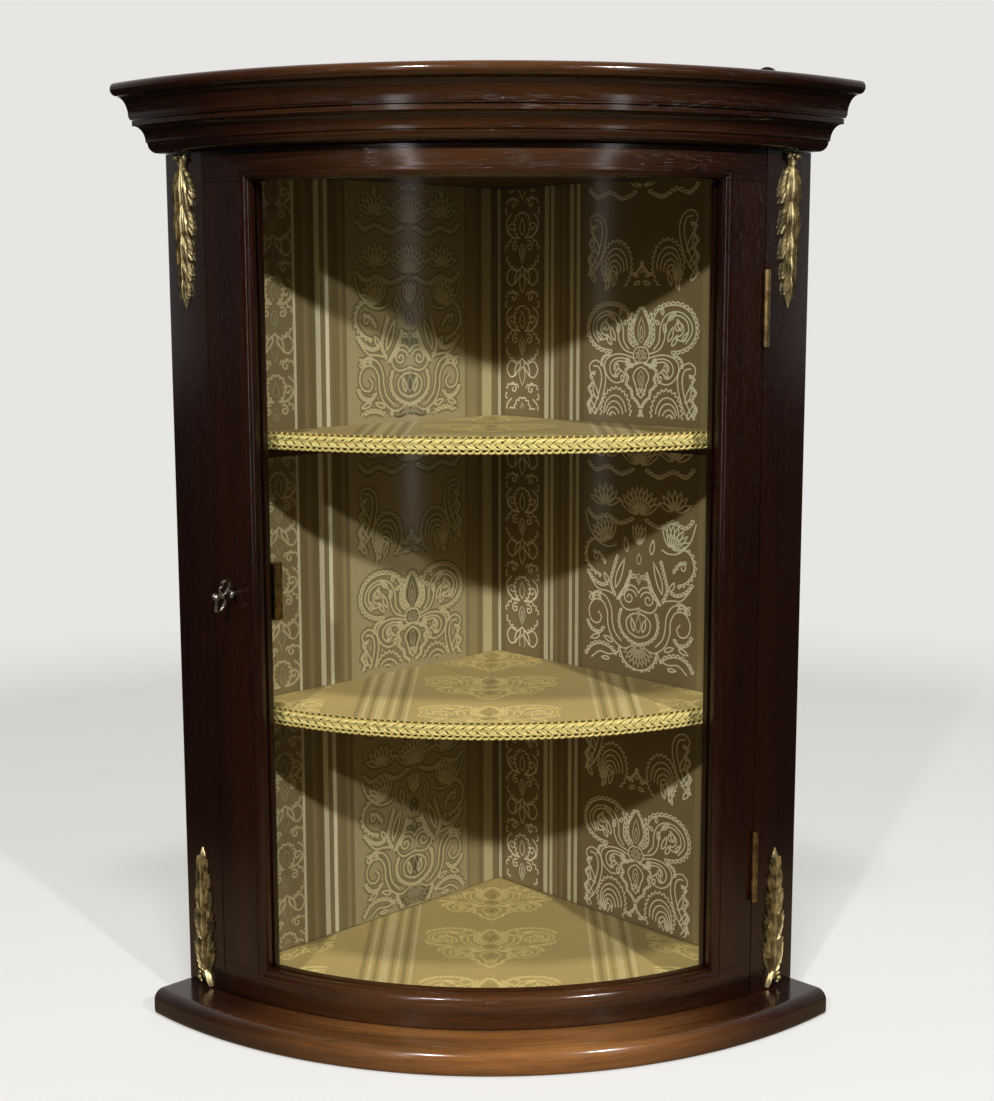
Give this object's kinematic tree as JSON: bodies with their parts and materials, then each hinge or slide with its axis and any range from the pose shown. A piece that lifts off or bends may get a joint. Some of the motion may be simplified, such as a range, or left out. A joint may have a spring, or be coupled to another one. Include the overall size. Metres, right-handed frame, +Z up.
{
  "type": "corner display cabinet",
  "caption": "Bow-fronted corner display cabinet with a curved glass door, covered shelves, damask lining, moulded cornice and base, leaf mounts and a lock with its key.",
  "frame": {"origin": "middle of the bounding box at the underside of the base board", "axes": "+Z up; -Y to the front; +X to the right of someone who faces the door; the back corner lies at +Y"},
  "size_m": [0.5812, 0.411, 0.779],
  "materials": {
    "mahogany": "french polish, high gloss",
    "back_wood": "plain sawn boards, wax",
    "damask": "striped damask with pale figure, satin",
    "gold_braid": "woven gimp braid",
    "gilt_brass": "gilt, worn",
    "aged_brass": "aged, satin",
    "bolt_steel": "filed steel",
    "key_steel": "dark polished steel",
    "dark_iron": "blackened iron",
    "curved_glass": "clear, thin, bent"
  },
  "bodies": {
    "carcase": {"base_plinth": "mahogany", "cornice_cap": "mahogany", "cornice_cavetto": "mahogany", "cornice_ogee": "mahogany", "carcase_stile_left": "mahogany", "carcase_stile_right": "mahogany", "shelf_lower": "mahogany", "shelf_upper": "mahogany", "cornice_back_left": "back_wood", "cornice_back_right": "back_wood", "wall_left_board_1": "back_wood", "wall_left_board_2": "back_wood", "wall_left_board_3": "back_wood", "wall_right_board_1": "back_wood", "wall_right_board_2": "back_wood", "wall_right_board_3": "back_wood", "floor_board": "back_wood", "top_board": "back_wood", "batten_left_lower": "back_wood", "batten_right_lower": "back_wood", "batten_left_upper": "back_wood", "batten_right_upper": "back_wood", "floor_cloth": "damask", "lining_left": "damask", "lining_right": "damask", "shelf_cloth_lower": "damask", "shelf_cloth_upper": "damask", "braid_lower": "gold_braid", "braid_upper": "gold_braid", "leaf_mount_top_left": "gilt_brass", "leaf_mount_top_right": "gilt_brass", "leaf_mount_foot_left": "gilt_brass", "leaf_mount_foot_right": "gilt_brass", "hanging_plate_left": "dark_iron", "hanging_plate_right": "dark_iron", "hinge_leaf_carcase_upper": "aged_brass", "hinge_leaf_carcase_lower": "aged_brass", "hinge_pin_upper": "aged_brass", "hinge_pin_lower": "aged_brass", "lock_keep": "aged_brass"},
    "door": {"door_rail_top": "mahogany", "door_rail_bottom": "mahogany", "door_stile_lock": "mahogany", "door_stile_hinge": "mahogany", "bead_top": "mahogany", "bead_bottom": "mahogany", "bead_left": "mahogany", "bead_right": "mahogany", "hinge_leaf_door_upper": "aged_brass", "hinge_leaf_door_lower": "aged_brass", "lock_case": "aged_brass", "door_glass": "curved_glass"},
    "bolt": {"lock_bolt": "bolt_steel"},
    "key": {"key": "key_steel"}
  },
  "joints": [
    {"name": "door_swing", "type": "hinge", "parent": "carcase", "child": "door", "pos_m": [0.21779, -0.08678, 0.363], "axis": [0, 0, 1], "range_deg": [0, 120]},
    {"name": "key_turn", "type": "hinge", "parent": "door", "child": "key", "pos_m": [-0.20263, -0.09447, 0.363], "axis": [-0.5598, -0.8287, 0], "range_deg": [0, 180]},
    {"name": "bolt_throw", "type": "slide", "parent": "door", "child": "bolt", "axis": [-0.8287, 0.5598, 0], "range_m": [0, 0.008]}
  ],
  "couplings": [
    {"joint": "bolt_throw", "follows": "key_turn", "m_per_rad": 0.0025465}
  ]
}
